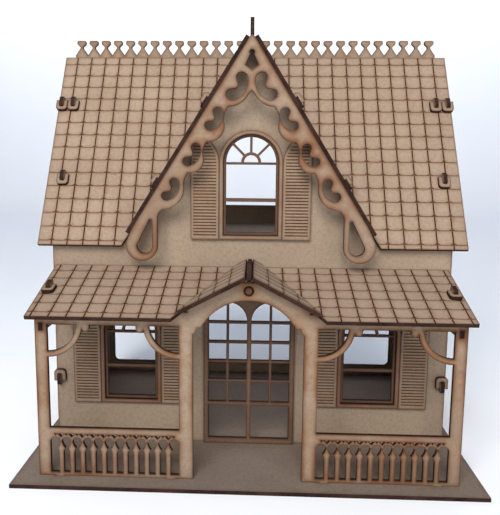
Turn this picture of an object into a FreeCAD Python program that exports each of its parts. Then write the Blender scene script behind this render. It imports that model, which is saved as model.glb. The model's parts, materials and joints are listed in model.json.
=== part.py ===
# Slot-together cottage dollhouse of 3 mm board, as a parametric FreeCAD document.
#
# Frame: millimetres, +Z up, +X to the right seen from the front, the front looks along -Y.
# The origin is the middle of the base plate's underside.
# Every board is a body with its outline in one sketch, padded by the sheet thickness.

import FreeCAD, Part
import math
import os

DOC = FreeCAD.newDocument("dollhouse")
DEG = math.pi / 180.0


# ------------------------------------------------------------------ driving dimensions

DIMENSIONS = [
    ("sheet_thk", 3.0, "board thickness"),
    ("fit_gap", 0.1, "clearance between a tab and its slot"),
    ("base_width", 360.0, "base plate along X"),
    ("base_depth", 258.0, "base plate along Y"),
    ("porch_margin", 78.0, "base front edge to the front wall's face"),
    ("house_width", 334.0, "front wall along X"),
    ("house_depth", 172.0, "front wall's face to the rear frame's back"),
    ("side_inset", 2.0, "front wall's end to the side wall's outer face"),
    ("storey_height", 173.5, "base underside to the upper floor's underside"),
    ("rail_top", 196.0, "top of the rear rail"),
    ("roof_pitch", 60.5, "main roof slope, degrees"),
    ("roof_half", 177.5, "main roof's half length along X"),
    ("eave_out", 7.7, "main eave in front of the front wall"),
    ("eave_height", 176.5, "top corner of the main eave"),
    ("gable_pitch", 58.0, "gable roof slope, degrees"),
    ("gable_out", 17.0, "gable's front plane in front of the front wall"),
    ("gable_half", 101.4, "gable roof's lower outer corner from the middle"),
    ("gable_low", 189.3, "height of that corner"),
    ("gable_length", 182.5, "gable roof board along its slope"),
    ("porch_pitch", 17.9, "porch roof slope, degrees"),
    ("porch_half", 164.0, "porch roof's half length along X"),
    ("porch_eave_out", 77.0, "porch eave in front of the front wall"),
    ("porch_eave_height", 134.3, "top corner of the porch eave"),
    ("porch_out", 63.0, "porch front board's face in front of the front wall"),
    ("porch_face_half", 161.6, "porch front board's half length"),
    ("porch_side_x", 157.0, "middle plane of a porch side board"),
    ("beam_top", 135.3, "top of the porch beam"),
    ("beam_low", 124.2, "underside of the porch beam"),
    ("post_width", 9.3, "outer porch post"),
    ("portal_outer", 52.3, "outer edge of a portal post"),
    ("portal_inner", 41.6, "inner edge of a portal post"),
    ("rail_low", 37.5, "underside of the porch handrail"),
    ("rail_high", 42.4, "top of the porch handrail"),
    ("portal_pitch", 27.8, "portal roof slope, degrees"),
    ("portal_out", 75.0, "portal roof's front edge in front of the front wall"),
    ("portal_half", 52.2, "portal roof's lower outer corner"),
    ("portal_low", 139.3, "height of that corner"),
    ("portal_length", 55.5, "portal roof board along its slope"),
    ("window_width", 52.0, "window trim along X"),
    ("window_spring", 63.6, "window trim's foot to the centre of its arch"),
    ("trim_ring", 3.2, "window trim's face width"),
    ("sash_bar", 2.2, "window sash's frame width"),
    ("low_window_x", 101.4, "centre of a lower window"),
    ("low_window_foot", 38.0, "foot of the lower windows"),
    ("high_window_foot", 182.2, "foot of the gable window"),
    ("shutter_width", 23.4, "shutter along X"),
    ("door_half", 38.7, "door panel's half width"),
    ("door_top", 131.0, "top of the door panel"),
    ("door_spring", 112.3, "centre height of the door's arches"),
    ("clip_width", 10.0, "locking clip across its prongs"),
    ("clip_length", 10.0, "locking clip along its prongs"),
    ("hook_length", 10.0, "hook tab with its nose"),
    ("hook_nose", 2.4, "overhang of the hook's nose"),
    ("picket_top", 358.0, "top of the ridge cresting"),
    ("picket_foot", 344.6, "bottom of the gaps between pickets"),
]

SHEET = DOC.addObject("Spreadsheet::Sheet", "Sizes")
for row, (alias, size, note) in enumerate(DIMENSIONS, start=1):
    SHEET.set("A%d" % row, alias)
    SHEET.set("B%d" % row, str(size))
    SHEET.set("C%d" % row, note)
    SHEET.setAlias("B%d" % row, alias)
DOC.recompute()


def dim(alias):
    return float(SHEET.get(alias))


T = dim("sheet_thk")
GAP = dim("fit_gap")
WALL_Y = dim("porch_margin") - dim("base_depth") / 2.0
HOUSE_HALF = dim("house_width") / 2.0
SIDE_OUT = HOUSE_HALF - dim("side_inset")
SIDE_MID = SIDE_OUT - T / 2.0
DEPTH = dim("house_depth")


# ------------------------------------------------------------------ outlines
# An edge is (p, q) for a line, (p, m, q) for an arc through m, or ("circle", centre, radius).

def run(start, *steps):
    """Edges from start through the steps: a point is a line, a pair of points is an arc."""
    edges = []
    here = start
    for step in steps:
        if isinstance(step[0], tuple):
            edges.append((here, step[0], step[1]))
            here = step[1]
        elif math.dist(here, step) > 1e-6:
            edges.append((here, step))
            here = step
    return edges


def loop(start, *steps):
    return run(start, *steps, start)


def mirrored(edges):
    """The same edges mirrored in the vertical axis, in travelling order."""
    result = []
    for edge in reversed(edges):
        if edge[0] == "circle":
            result.append(("circle", (-edge[1][0], edge[1][1]), edge[2]))
        else:
            result.append(tuple((-px, pz) for px, pz in reversed(edge)))
    return result


def moved(edges, dx, dz):
    result = []
    for edge in edges:
        if edge[0] == "circle":
            result.append(("circle", (edge[1][0] + dx, edge[1][1] + dz), edge[2]))
        else:
            result.append(tuple((px + dx, pz + dz) for px, pz in edge))
    return result


def box(x_low, z_low, x_high, z_high):
    return loop((x_low, z_low), (x_high, z_low), (x_high, z_high), (x_low, z_high))


def rounded_box(x_low, z_low, x_high, z_high, radius):
    bow = radius * (1.0 - math.sqrt(0.5))
    return loop(
        (x_low + radius, z_low),
        (x_high - radius, z_low),
        ((x_high - bow, z_low + bow), (x_high, z_low + radius)),
        (x_high, z_high - radius),
        ((x_high - bow, z_high - bow), (x_high - radius, z_high)),
        (x_low + radius, z_high),
        ((x_low + bow, z_high - bow), (x_low, z_high - radius)),
        (x_low, z_low + radius),
        ((x_low + bow, z_low + bow), (x_low + radius, z_low)),
    )


def circle(x, z, radius):
    return [("circle", (x, z), radius)]


def polar(centre, radius, degrees):
    return (
        centre[0] + radius * math.cos(degrees * DEG),
        centre[1] + radius * math.sin(degrees * DEG),
    )


def arched(centre_x, foot, spring, half):
    """A round-headed opening or board."""
    return loop(
        (centre_x - half, foot),
        (centre_x + half, foot),
        (centre_x + half, spring),
        ((centre_x, spring + half), (centre_x - half, spring)),
    )


# ------------------------------------------------------------------ bodies

MADE = []


def plane_of(body, role):
    for feature in body.Origin.OriginFeatures:
        if feature.Role == role:
            return feature
    raise RuntimeError("no plane " + role)


def geometry(edges):
    up = FreeCAD.Vector(0, 0, 1)
    items = []
    for edge in edges:
        if edge[0] == "circle":
            centre = FreeCAD.Vector(edge[1][0], edge[1][1], 0)
            items.append(Part.Circle(centre, up, edge[2]))
            continue
        points = [FreeCAD.Vector(px, pz, 0) for px, pz in edge]
        if len(points) == 2:
            items.append(Part.LineSegment(*points))
        else:
            items.append(Part.Arc(*points))
    return items


def sketch_on(body, role, loops, name):
    sketch = body.newObject("Sketcher::SketchObject", name)
    sketch.AttachmentSupport = [(plane_of(body, role), "")]
    sketch.MapMode = "FlatFace"
    for edges in loops:
        sketch.addGeometry(geometry(edges), False)
    return sketch


def board(name, role, loops, thickness="Sizes.sheet_thk", backwards=False, middle=False):
    """One sheet board: its outline and cut-outs in one sketch, padded by its thickness."""
    body = DOC.addObject("PartDesign::Body", name)
    body.Label = name
    sketch = sketch_on(body, role, loops, name + "_outline")
    pad = body.newObject("PartDesign::Pad", name + "_pad")
    pad.Profile = sketch
    pad.setExpression("Length", thickness)
    pad.Reversed = backwards
    if middle:
        pad.Midplane = True
    MADE.append(body)
    return body


def upright(name, loops, front):
    """A board in a plane facing the front; front is its face, counted from the front wall's face."""
    body = board(name, "XZ_Plane", loops, backwards=True)
    body.Placement.Base = FreeCAD.Vector(0, WALL_Y + front, 0)
    return body


def crosswise(name, loops, middle_x):
    """A board in a plane facing sideways, about its middle plane; outlines are (y, z)."""
    body = board(name, "YZ_Plane", loops, middle=True)
    body.Placement.Base = FreeCAD.Vector(middle_x, WALL_Y, 0)
    return body


def cut_by(body, role, loops, name, depth, backwards):
    sketch = sketch_on(body, role, loops, name)
    pocket = body.newObject("PartDesign::Pocket", name + "_cut")
    pocket.Profile = sketch
    pocket.Length = depth
    pocket.Reversed = backwards
    return pocket


# ------------------------------------------------------------------ slopes

class Slope:
    """A roof board's top face: a foot point, a pitch and a length, in some (across, up) plane."""

    def __init__(self, foot, pitch, length):
        self.foot = foot
        self.pitch = pitch
        self.cos = math.cos(pitch * DEG)
        self.sin = math.sin(pitch * DEG)
        self.length = length
        self.drop = T / self.cos

    def point(self, along, above=0.0):
        return (
            self.foot[0] + along * self.cos - above * self.sin,
            self.foot[1] + along * self.sin + above * self.cos,
        )

    def top(self, across):
        return self.foot[1] + (across - self.foot[0]) * self.sin / self.cos

    def under(self, across):
        return self.top(across) - self.drop


RIDGE_Y = DEPTH / 2.0
MAIN = Slope(
    (-dim("eave_out"), dim("eave_height")),
    dim("roof_pitch"),
    (RIDGE_Y + dim("eave_out")) / math.cos(dim("roof_pitch") * DEG),
)
GABLE = Slope((-dim("gable_half"), dim("gable_low")), dim("gable_pitch"), dim("gable_length"))
PORCH = Slope(
    (-dim("porch_eave_out"), dim("porch_eave_height")),
    dim("porch_pitch"),
    (dim("porch_eave_out") - 1.2) / math.cos(dim("porch_pitch") * DEG),
)
PORTAL = Slope((-dim("portal_half"), dim("portal_low")), dim("portal_pitch"), dim("portal_length"))

UNDER_GAP = 0.15
VALLEY_MARGIN = 1.2


def valley_half(slope, cover, across):
    """Half width of the valley where the cover roof's underside meets the slope's top face."""
    height = slope.top(across)
    return -(cover.foot[0] + (height + cover.drop - cover.foot[1]) * cover.cos / cover.sin)


# ------------------------------------------------------------------ hooks and clips
# A hook is drawn along its board's edge: "along" runs from the clip's closed end to the nose,
# "above" is the height over the face that the clip lies on.

HOOK_RISE = 6.4
HOOK_NOTCH = 1.2
CLIP_FREE = 0.1


def hook(start, root):
    """Points of a hook from its root, below the face, over its head and back."""
    end = start + dim("hook_length") - dim("hook_nose")
    tip = start + dim("hook_length")
    neck = T + 2.0 * CLIP_FREE
    return [
        (start, root),
        (start, 0.0),
        (start + HOOK_NOTCH, 0.0),
        (start + HOOK_NOTCH, neck),
        (start, neck),
        (start, HOOK_RISE - 1.2),
        (start + 1.2, HOOK_RISE),
        (tip - 2.2, HOOK_RISE),
        (tip, HOOK_RISE - 2.6),
        (tip, GAP),
        (end, GAP),
        (end, root),
    ]


def slot_span(start):
    """Where a hook's slot begins and ends, long enough for the nose to pass."""
    return (
        start - dim("hook_nose") - GAP,
        start + dim("hook_length") - dim("hook_nose") + GAP,
    )


SLOT_HALF = T / 2.0 + GAP


def clip_outline(start):
    """A U-shaped clip, seen on its face, across and along, for a hook that starts at start."""
    half = dim("clip_width") / 2.0
    inner = T / 2.0 + GAP
    closed = start + HOOK_NOTCH - GAP - 4.4
    crotch = start + HOOK_NOTCH - GAP
    tips = closed + dim("clip_length")
    corner = 3.0
    bow = corner * (1.0 - math.sqrt(0.5))
    return loop(
        (-half + corner, closed),
        (half - corner, closed),
        ((half - bow, closed + bow), (half, closed + corner)),
        (half, tips),
        (inner, tips),
        (inner, crotch),
        (-inner, crotch),
        (-inner, tips),
        (-half, tips),
        (-half, closed + corner),
        ((-half + bow, closed + bow), (-half + corner, closed)),
    )


def add_clip(name, start, placement):
    body = board(name, "XY_Plane", [clip_outline(start)])
    body.Placement = placement
    return body


def slope_placement(slope, x, sign, facing):
    """Placement of a clip: lying on a slope's top face. facing 'front' or 'side'."""
    lift = CLIP_FREE
    across, up = slope.point(0.0, lift)
    if facing == "front":
        turn = FreeCAD.Rotation(FreeCAD.Vector(1, 0, 0), slope.pitch)
        return FreeCAD.Placement(FreeCAD.Vector(x, WALL_Y + across, up), turn)
    tilt = FreeCAD.Rotation(FreeCAD.Vector(0, 1, 0), sign * slope.pitch)
    spin = FreeCAD.Rotation(FreeCAD.Vector(0, 0, 1), sign * 90.0)
    return FreeCAD.Placement(FreeCAD.Vector(sign * -across, WALL_Y + x, up), tilt.multiply(spin))


ROOF_HOOKS = (58.4, 133.7)
GABLE_HOOKS = (43.0, 120.6)
PORCH_HOOK = 35.0
WALL_HOOK_TOP = 63.2


# ------------------------------------------------------------------ base plate and floor

BASE_TABS_FRONT = (-140.0, -100.0, -60.0, 60.0, 100.0, 140.0)
PORCH_TABS = (-145.3, -58.8, 58.8, 145.3)
SIDE_TABS = (40.0, 130.0)
REAR_TABS = (-120.0, 0.0, 120.0)
FLOOR_TABS = (45.0, 125.0)
TAB = 10.0
PORCH_TAB = 8.0


def base_plate():
    half = dim("base_width") / 2.0
    front = -dim("porch_margin")
    back = dim("base_depth") - dim("porch_margin")
    slots = []
    for x in BASE_TABS_FRONT:
        slots.append(box(x - TAB / 2 - GAP, -GAP, x + TAB / 2 + GAP, T + GAP))
    for x in REAR_TABS:
        slots.append(box(x - TAB / 2 - GAP, DEPTH - T - GAP, x + TAB / 2 + GAP, DEPTH + GAP))
    for x in PORCH_TABS:
        y = -dim("porch_out")
        slots.append(box(x - PORCH_TAB / 2 - GAP, y - GAP, x + PORCH_TAB / 2 + GAP, y + T + GAP))
    for side in (-1, 1):
        for y in SIDE_TABS:
            x = side * SIDE_MID
            slots.append(box(x - SLOT_HALF, y - TAB - GAP, x + SLOT_HALF, y + TAB + GAP))
    body = DOC.addObject("PartDesign::Body", "base_plate")
    body.Label = "base_plate"
    sketch = sketch_on(body, "XY_Plane", [box(-half, front, half, back)] + slots, "base_outline")
    pad = body.newObject("PartDesign::Pad", "base_pad")
    pad.Profile = sketch
    pad.setExpression("Length", "Sizes.sheet_thk")
    body.Placement.Base = FreeCAD.Vector(0, WALL_Y, 0)
    MADE.append(body)


def upper_floor():
    inner = SIDE_OUT - T - GAP
    front = T + GAP
    back = DEPTH - T - GAP
    edges = run((-inner, front), (inner, front))
    here = [(inner, front)]
    for y in FLOOR_TABS:
        here += [(inner, y - TAB), (SIDE_OUT, y - TAB), (SIDE_OUT, y + TAB), (inner, y + TAB)]
    here.append((inner, back))
    for first, second in zip(here, here[1:]):
        edges.append((first, second))
    edges += run((inner, back), (-inner, back))
    edges += mirrored([(p, q) for p, q in zip(here, here[1:])])
    body = board("upper_floor", "XY_Plane", [edges])
    body.Placement.Base = FreeCAD.Vector(0, WALL_Y, dim("storey_height"))


# ------------------------------------------------------------------ walls

OPEN_HALF = dim("window_width") / 2.0 - dim("trim_ring")
WALL_TOP = MAIN.under(0.0) - UNDER_GAP


def tabbed_foot(x_from, x_to, centres, width):
    """The lower edge of an upright board, left to right, with tabs into the base."""
    points = [(x_from, T)]
    for x in centres:
        points += [(x - width / 2, T), (x - width / 2, 0.2), (x + width / 2, 0.2), (x + width / 2, T)]
    points.append((x_to, T))
    return points


def chain(points):
    return run(points[0], *points[1:])


def wall_slot_box(x, low_to_high):
    return box(x - SLOT_HALF, low_to_high[0], x + SLOT_HALF, low_to_high[1])


def hook_slot_in_wall(x):
    """The slot for a hook whose nose points down."""
    begin, end = slot_span(0.0)
    return wall_slot_box(x, (WALL_HOOK_TOP - end, WALL_HOOK_TOP - begin))


def sloping_top(slope, half_low, half_high):
    """The right half of a gable outline with hooks through the roof boards, bottom to top."""
    points = [(-half_low, slope.under(-half_low) - UNDER_GAP)]
    root = -T - UNDER_GAP
    for start in GABLE_HOOKS:
        points += [slope.point(a, h) for a, h in hook(start, root)]
    points.append((-half_high, slope.under(-half_high) - UNDER_GAP))
    return [(-across, up) for across, up in points]


GABLE_FLAT = 336.0


def half_width_under(slope, height):
    return -(slope.foot[0] + (height + slope.drop + UNDER_GAP - slope.foot[1]) * slope.cos / slope.sin)


def front_wall():
    door_half = dim("door_half") - 4.3
    shoulder = half_width_under(GABLE, WALL_TOP)
    flat = half_width_under(GABLE, GABLE_FLAT)
    tabs = [x for x in BASE_TABS_FRONT if x > 0]
    right = [(0.0, door_top_cut()), (door_half, door_top_cut()), (door_half, T)]
    right += tabbed_foot(door_half, HOUSE_HALF, tabs, TAB)[1:]
    right += [(HOUSE_HALF, WALL_TOP), (shoulder, WALL_TOP)]
    right += sloping_top(GABLE, shoulder, flat)[1:]
    right += [(0.0, GABLE_FLAT)]
    half = chain(right)
    holes = []
    for centre, foot in WINDOWS.values():
        low = foot + dim("trim_ring")
        holes.append(arched(centre, low, foot + dim("window_spring"), OPEN_HALF))
    for side in (-1, 1):
        holes.append(hook_slot_in_wall(side * SIDE_MID))
        x = side * dim("porch_side_x")
        holes.append(wall_slot_box(x, (PORCH_TENON_LOW - GAP, PORCH_TENON_HIGH + GAP)))
    upright("front_wall", [half + mirrored(half)] + holes, 0.0)


def door_top_cut():
    return dim("door_top") - 3.0


WINDOWS = {
    "left_window": (-dim("low_window_x"), dim("low_window_foot")),
    "right_window": (dim("low_window_x"), dim("low_window_foot")),
    "upper_window": (0.0, dim("high_window_foot")),
}

PORCH_TENON_LOW = 126.0
PORCH_TENON_HIGH = 134.0
POST_TENON_LOW = 119.6
POST_TENON_HIGH = 125.2
CREST_Y = RIDGE_Y + 2.9
CREST_LOW = 312.0


def wall_hook_points(face_y, sign):
    """A hook through an upright board, nose down; sign -1 sticks out to the front, 1 to the back."""
    root = -T - GAP
    return [(face_y + sign * h, WALL_HOOK_TOP - a) for a, h in hook(0.0, root)]


def side_wall(name, side):
    front = T + GAP
    back = DEPTH - T - GAP
    points = [(front, T)]
    for y in SIDE_TABS:
        points += [(y - TAB, T), (y - TAB, 0.2), (y + TAB, 0.2), (y + TAB, T)]
    points.append((back, T))
    points += list(reversed(wall_hook_points(DEPTH, 1)))
    rear_eave = MAIN.under(DEPTH - back) - UNDER_GAP
    points.append((back, rear_eave))
    notch = (CREST_Y - GAP, CREST_Y + T + GAP)
    for y in reversed(notch):
        points.append((y, MAIN.under(DEPTH - y) - UNDER_GAP))
        if y == notch[1]:
            points += [(notch[1], CREST_LOW - GAP), (notch[0], CREST_LOW - GAP)]
    points.append((RIDGE_Y, MAIN.under(RIDGE_Y) - UNDER_GAP))
    root = -T - UNDER_GAP
    for start in reversed(ROOF_HOOKS):
        points += [MAIN.point(a, h) for a, h in reversed(hook(start, root))]
    points.append((front, MAIN.under(front) - UNDER_GAP))
    points += wall_hook_points(0.0, -1)
    outline = chain(points) + [(points[-1], points[0])]
    holes = []
    low = dim("storey_height") - GAP
    for y in FLOOR_TABS:
        holes.append(box(y - TAB - GAP, low, y + TAB + GAP, low + T + 2 * GAP))
    crosswise(name, [outline] + holes, side * SIDE_MID)


def rear_frame():
    jamb = 156.5
    holes = [rounded_box(-jamb, 15.0, jamb, 160.0, 5.0)]
    for side in (-1, 1):
        holes.append(hook_slot_in_wall(side * SIDE_MID))
    points = tabbed_foot(-HOUSE_HALF, HOUSE_HALF, REAR_TABS, TAB)
    points += [(HOUSE_HALF, dim("rail_top")), (-HOUSE_HALF, dim("rail_top"))]
    outline = chain(points) + [(points[-1], points[0])]
    upright("rear_frame", [outline] + holes, DEPTH - T)


# ------------------------------------------------------------------ main roof and ridge

def roof_board(name, outline, holes, slope, side):
    """A board lying on a slope that faces the front; its sketch is (X, along the slope)."""
    body = board(name, "XY_Plane", [outline] + holes)
    across, up = slope.point(0.0, -T)
    turn = FreeCAD.Rotation(FreeCAD.Vector(1, 0, 0), slope.pitch)
    body.Placement = FreeCAD.Placement(FreeCAD.Vector(0, WALL_Y + across, up), turn)
    return body


RAFTER_X = 174.0


def roof_half(name, side, slope, half, cover, slots):
    low = valley_half(slope, cover, slope.point(0.0)[0]) + VALLEY_MARGIN
    high = valley_half(slope, cover, slope.point(slope.length)[0]) + VALLEY_MARGIN
    outline = loop((low, 0.0), (half, 0.0), (half, slope.length), (high, slope.length))
    holes = []
    for x, start in slots:
        begin, end = slot_span(start)
        holes.append(box(x - SLOT_HALF, begin, x + SLOT_HALF, end))
    if side < 0:
        outline = mirrored(outline)
        holes = [mirrored(hole) for hole in holes]
    return roof_board(name, outline, holes, slope, side)


def main_roof():
    slots = [(SIDE_MID, start) for start in ROOF_HOOKS] + [(RAFTER_X, ROOF_HOOKS[1])]
    roof_half("main_roof_left", -1, MAIN, dim("roof_half"), GABLE, slots)
    roof_half("main_roof_right", 1, MAIN, dim("roof_half"), GABLE, slots)


def rafter(name, side):
    """A narrow board under the roof's outer edge, with one hook through the roof."""
    root = -T - UNDER_GAP
    deep = -15.0
    points = [(4.0, root)]
    points += hook(ROOF_HOOKS[1], root)
    points += [(MAIN.length - 3.0, root), (MAIN.length - 14.0, deep)]
    points += [(10.0, deep)]
    world = [MAIN.point(a, h) for a, h in points]
    crosswise(name, [chain(world) + [(world[-1], world[0])]], side * RAFTER_X)


PICKETS = 29
PICKET_PITCH = 11.67


def picket(x):
    """One picket's edge, left to right, from gap bottom to gap bottom."""
    foot = dim("picket_foot")
    top = dim("picket_top")
    half = PICKET_PITCH / 2.0
    return [
        (x - half, foot),
        (x - 1.4, foot + 6.2),
        (x - 1.4, foot + 7.6),
        (x - 4.1, foot + 10.2),
        (x - 4.1, top - 0.9),
        (x - 3.2, top),
        (x + 3.2, top),
        (x + 4.1, top - 0.9),
        (x + 4.1, foot + 10.2),
        (x + 1.4, foot + 7.6),
        (x + 1.4, foot + 6.2),
        (x + half, foot),
    ]


def ridge_cresting():
    half = PICKETS * PICKET_PITCH / 2.0
    points = [(-half, CREST_LOW)]
    for number in range(PICKETS):
        x = (number - (PICKETS - 1) / 2.0) * PICKET_PITCH
        points += picket(x)[0 if number == 0 else 1:]
    points.append((half, CREST_LOW))
    upright("ridge_cresting", [chain(points) + [(points[-1], points[0])]], CREST_Y)


# ------------------------------------------------------------------ gable

def gable_roof(name, side):
    """A steep roof board; its sketch is (depth from the front wall's face, along the slope)."""
    front = -dim("gable_out")
    tangent = MAIN.sin / MAIN.cos

    def rear(along):
        height = GABLE.point(along, -T)[1]
        return MAIN.foot[0] + (height - MAIN.foot[1]) / tangent - UNDER_GAP

    length = GABLE.length
    outline = loop((front, 0.0), (rear(0.0), 0.0), (rear(length), length), (front, length))
    holes = []
    for start in GABLE_HOOKS:
        begin, end = slot_span(start)
        holes.append(box(-GAP, begin, T + GAP, end))
    lean_board(name, outline, holes, GABLE, side)


def lean_board(name, outline, holes, slope, side):
    """A board on a slope that faces left or right; its sketch is (depth, along the slope)."""
    if side < 0:
        outline = mirrored(outline)
        holes = [mirrored(hole) for hole in holes]
    body = board(name, "XY_Plane", [outline] + holes)
    across, up = slope.point(0.0, -T)
    tilt = FreeCAD.Rotation(FreeCAD.Vector(0, 1, 0), side * slope.pitch)
    spin = FreeCAD.Rotation(FreeCAD.Vector(0, 0, 1), side * 90.0)
    place = FreeCAD.Vector(side * -across, WALL_Y, up)
    body.Placement = FreeCAD.Placement(place, tilt.multiply(spin))


def finial(name, front, notch_y, notch_z, foot, ridge, tip, rear):
    """The upright board between two roof boards, with a spike at its front."""
    points = loop(
        (notch_y, foot),
        (rear, foot),
        (rear, ridge),
        (front + 13.0, ridge),
        ((front + 4.8, ridge + (tip - ridge) * 0.35), (front + 1.4, tip)),
        (front, tip),
        (front, notch_z),
        (notch_y, notch_z),
    )
    crosswise(name, [points], 0.0)


def along_gable(u, w):
    """A point under the gable's left roof board: u down the slope from the apex, w below it."""
    apex = (0.0, GABLE.under(0.0))
    return (
        apex[0] - u * GABLE.cos + w * GABLE.sin,
        apex[1] - u * GABLE.sin - w * GABLE.cos,
    )


def eye(u, scale):
    """A crescent eye, centred u down the slope, that bends round a knob on its roof side."""

    def at(along, inward):
        return along_gable(u + along * scale, inward * scale)

    return loop(
        at(-11.6, 10.6),
        (at(-8.6, 7.3), at(-4.9, 8.2)),
        at(-2.9, 10.6),
        (at(0.0, 12.5), at(2.9, 10.6)),
        at(4.9, 8.2),
        (at(8.6, 7.3), at(11.6, 10.6)),
        (at(11.4, 13.6), at(9.4, 16.0)),
        (at(0.0, 19.3), at(-9.4, 16.0)),
        (at(-11.4, 13.6), at(-11.6, 10.6)),
    )


def gable_bargeboard():
    clear = UNDER_GAP
    crown = [(0.0, GABLE.under(0.0) - 1.2), along_gable(4.0, clear)]
    low_end = along_gable(GABLE.length - 1.5, clear)
    loop_mid = (-87.6, 178.2)
    loop_r = 12.8
    inner_x = -75.0
    half = [(crown[0], crown[1]), (crown[1], low_end)]
    half += run(
        low_end,
        (loop_mid[0] - loop_r, loop_mid[1] + 4.0),
        ((loop_mid[0], loop_mid[1] - loop_r), (inner_x, loop_mid[1])),
        (inner_x, 200.5),
        ((-74.0, 204.6), (-70.6, 207.8)),
        ((-57.8, 213.6), (-53.6, 226.0)),
        ((-53.0, 232.4), (-50.2, 237.4)),
        ((-40.3, 240.6), (-37.9, 250.4)),
        ((-37.9, 256.8), (-34.9, 262.0)),
        ((-24.0, 266.4), (-21.2, 275.8)),
        ((-21.3, 283.6), (-17.9, 289.4)),
        ((-10.2, 291.4), (-3.4, 297.2)),
        ((-1.9, 299.8), (0.0, 301.6)),
    )
    eyes = [eye(40.8, 1.0)]
    for u in (71.8, 104.8, 137.4):
        eyes.append(eye(u, 0.84))
    tear = loop(
        (-79.6, 198.2),
        (-79.6, 178.6),
        ((-85.6, 171.8), (-92.0, 178.6)),
        (-82.2, 198.6),
        ((-80.7, 199.8), (-79.6, 198.2)),
    )
    holes = []
    for edges in eyes + [tear]:
        holes.append(edges)
        holes.append(mirrored(edges))
    key = loop(
        (-1.5, 329.4),
        (-5.2, 321.3),
        (0.0, 317.4),
        (5.2, 321.3),
        (1.5, 329.4),
        ((0.0, 332.9), (-1.5, 329.4)),
    )
    outline = list(half)
    outline += mirrored(half)
    upright("gable_bargeboard", [outline] + holes + [key], -dim("gable_out"))


# ------------------------------------------------------------------ windows, shutters, door

def window(name, centre, foot):
    half = dim("window_width") / 2.0
    spring = foot + dim("window_spring")
    ring = dim("trim_ring")
    trim = [arched(centre, foot, spring, half), arched(centre, foot + ring, spring, half - ring)]
    upright(name + "_trim", trim, -T)
    upright(name + "_sash", window_sash(centre, foot + ring, spring), 0.0)


def fan_pane(centre, inner, outer, start, end, bar):
    """One pane of a fanlight between two spokes."""
    trim_in = math.degrees(math.asin(bar / 2.0 / inner))
    trim_out = math.degrees(math.asin(bar / 2.0 / outer))
    first = trim_in if start > 0 else 0.0
    last = trim_in if end < 180 else 0.0
    first_out = trim_out if start > 0 else 0.0
    last_out = trim_out if end < 180 else 0.0
    middle = (start + end) / 2.0
    return loop(
        polar(centre, inner, start + first),
        polar(centre, outer, start + first_out),
        (polar(centre, outer, middle), polar(centre, outer, end - last_out)),
        polar(centre, inner, end - last),
        (polar(centre, inner, middle), polar(centre, inner, start + first)),
    )


def window_sash(centre, low, spring):
    bar = dim("sash_bar")
    half = OPEN_HALF - GAP
    glass = half - bar
    foot = low + GAP
    rail = foot + 27.8
    loops = [arched(centre, foot, spring, half)]
    loops.append(box(centre - glass, foot + bar, centre + glass, rail))
    loops.append(box(centre - glass, rail + 2.8, centre + glass, spring - 2.0))
    hub = (centre, spring)
    loops.append(loop((centre - 5.8, spring), (centre + 5.8, spring), (polar(hub, 5.8, 90), (centre - 5.8, spring))))
    for start, end in ((0, 45), (45, 90), (90, 135), (135, 180)):
        loops.append(fan_pane(hub, 8.2, glass, start, end, 2.0))
    return loops


LOUVRE_PITCH = 2.6
LOUVRE_DEEP = 0.5
SHUTTER_CROP = 19.5


def shutter(name, inner_x, foot, side, crop):
    """A louvred shutter; side -1 stands left of its window. Its quarter-round top may be cropped."""
    width = dim("shutter_width")
    spring = foot + dim("window_spring")
    outer = inner_x + side * width
    bend = polar((outer, spring), width, 135.0 if side > 0 else 45.0)
    edges = loop((outer, foot), (inner_x, foot), (inner_x, spring), (bend, (outer, spring + width)))
    if crop:
        flat_x = outer - side * math.sqrt(width ** 2 - crop ** 2)
        rise = math.asin(crop / width) / 2.0 / DEG
        bend = polar((outer, spring), width, 180.0 - rise if side > 0 else rise)
        edges = loop(
            (outer, foot),
            (inner_x, foot),
            (inner_x, spring),
            (bend, (flat_x, spring + crop)),
            (outer, spring + crop),
        )
    body = upright(name, [edges], -T)
    grooves = []
    border = 2.2
    z = foot + border + 1.0
    while z < spring + (crop or width) - 3.4:
        near = border
        if z + 1.3 > spring:
            near = border + width - math.sqrt(max(width ** 2 - (z + 1.3 - spring) ** 2, 0.0))
        if near > width - border - 3.0:
            break
        low_x, high_x = sorted((inner_x + side * near, outer - side * border))
        grooves.append(box(low_x, z, high_x, z + 1.0))
        z += LOUVRE_PITCH
    cut = cut_by(body, "XZ_Plane", grooves, name + "_louvres", LOUVRE_DEEP, False)
    return body, cut


def shutters():
    clear = 0.2
    for name, (centre, foot) in WINDOWS.items():
        reach = dim("window_width") / 2.0 + clear
        label = name.replace("_window", "") + "_shutter" if name == "upper_window" else name + "_shutter"
        crop = SHUTTER_CROP if name == "upper_window" else 0.0
        shutter(label + "_left", centre - reach, foot - 0.2, -1, crop)
        shutter(label + "_right", centre + reach, foot - 0.2, 1, crop)


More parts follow.
